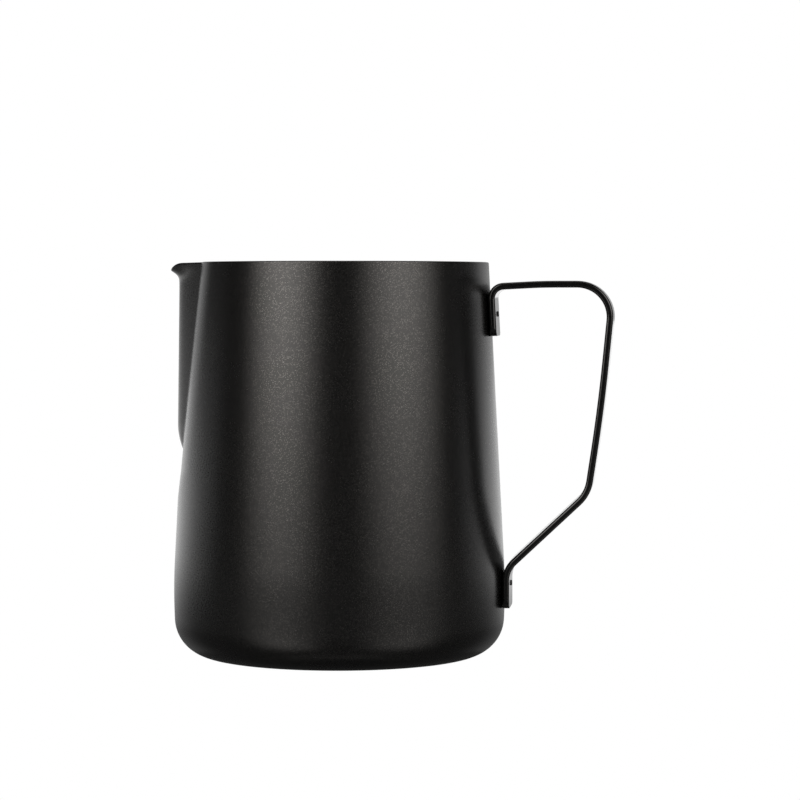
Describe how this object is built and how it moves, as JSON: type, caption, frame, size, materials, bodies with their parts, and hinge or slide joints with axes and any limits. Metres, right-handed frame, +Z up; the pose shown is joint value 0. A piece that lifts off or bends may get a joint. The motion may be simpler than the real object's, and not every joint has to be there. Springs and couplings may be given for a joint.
{
  "type": "milk frothing pitcher",
  "caption": "Coated steel jug with a pressed pouring spout and a bent flat-bar handle, for steaming and pouring milk.",
  "frame": {"origin": "on the cup's axis, in the plane of the foot it stands on", "axes": "+Z up along the cup's axis, +X towards the handle, -X towards the spout; the jug is symmetric about the XZ plane"},
  "size_m": [0.1247, 0.0928, 0.11],
  "materials": {
    "cup_coat": "satin black non-stick coating with a fine metallic grain over stainless steel",
    "handle_coat": "smooth semi-gloss black coating over stainless steel bar",
    "weld_coat": "small coated spot-weld mark, darker and rougher than the tab around it"
  },
  "bodies": {
    "root": {"cup": "cup_coat", "handle": "handle_coat", "upper_weld": "weld_coat", "lower_weld": "weld_coat"}
  },
  "joints": []
}
